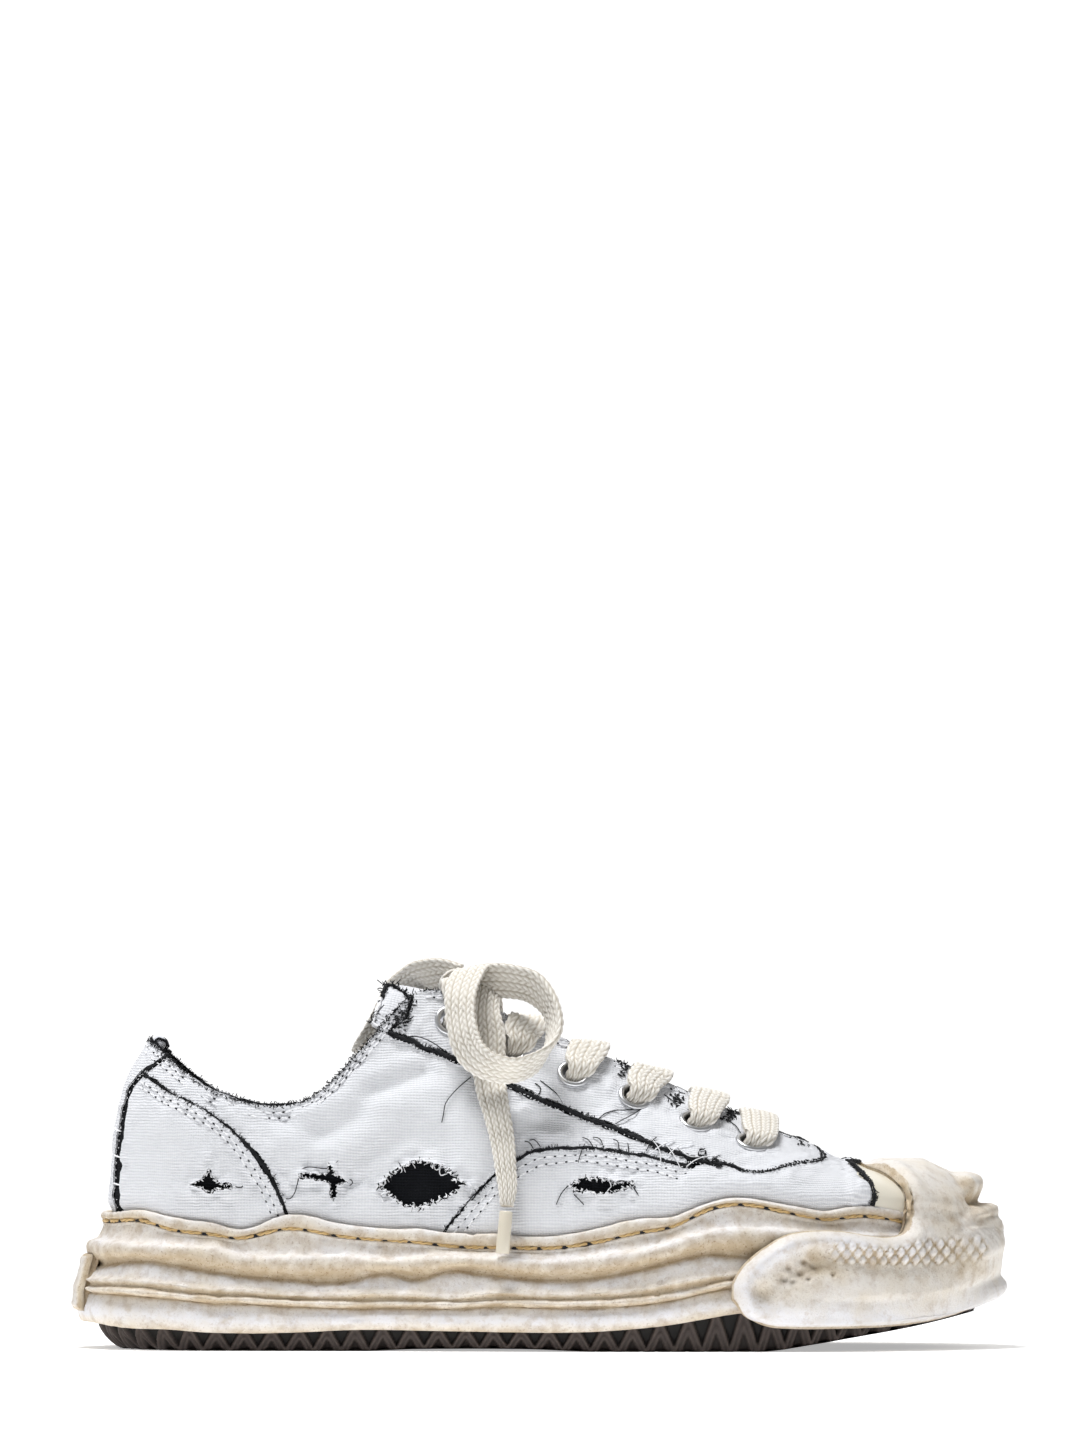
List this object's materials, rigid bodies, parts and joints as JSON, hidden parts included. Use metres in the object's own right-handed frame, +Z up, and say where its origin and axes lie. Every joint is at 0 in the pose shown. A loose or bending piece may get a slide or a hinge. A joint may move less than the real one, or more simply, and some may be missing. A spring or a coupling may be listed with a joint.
{
  "type": "low-top canvas sneaker",
  "caption": "Low-top canvas sneaker, right foot, with a thick wavy cup sole, a heavy rubber toe guard, metal eyelets and a flat lace tied in a bow.",
  "frame": {"origin": "on the ground under the centre of the shoe's outer box, taken without the bow", "axes": "+X towards the toe, +Y towards the inner (medial) side, +Z up"},
  "size_m": [0.3126, 0.121, 0.1311],
  "materials": {
    "outsole_rubber": "dark brown-grey, matt, scuffed",
    "cream_rubber": "cream, matt, hand-worked and stained",
    "insole_cloth": "worn cotton over foam",
    "canvas": "white cotton canvas, torn over a dark base cloth",
    "cap_rubber": "smooth ivory, satin",
    "eyelet_metal": "silver, lightly worn",
    "lace_cotton": "off-white woven flat lace",
    "aglet_plastic": "clear film over the lace"
  },
  "bodies": {
    "root": {"outsole": "outsole_rubber", "midsole": "cream_rubber", "insole": "insole_cloth", "upper": "canvas", "toe_cap": "cap_rubber", "toe_guard": "cream_rubber", "heel_patch": "cream_rubber", "tongue": "canvas", "eyelet_1_outer": "eyelet_metal", "eyelet_1_inner": "eyelet_metal", "eyelet_2_outer": "eyelet_metal", "eyelet_2_inner": "eyelet_metal", "eyelet_3_outer": "eyelet_metal", "eyelet_3_inner": "eyelet_metal", "eyelet_4_outer": "eyelet_metal", "eyelet_4_inner": "eyelet_metal", "eyelet_5_outer": "eyelet_metal", "eyelet_5_inner": "eyelet_metal", "eyelet_6_outer": "eyelet_metal", "eyelet_6_inner": "eyelet_metal", "lace_bar_1": "lace_cotton", "lace_bar_2": "lace_cotton", "lace_bar_3": "lace_cotton", "lace_bar_4": "lace_cotton", "lace_bar_5": "lace_cotton", "lace_leg_outer": "lace_cotton", "lace_leg_inner": "lace_cotton", "lace_loop_near": "lace_cotton", "lace_loop_far": "lace_cotton", "lace_end_near": "lace_cotton", "lace_end_far": "lace_cotton", "lace_knot": "lace_cotton", "aglet_near": "aglet_plastic", "aglet_far": "aglet_plastic"}
  },
  "joints": []
}
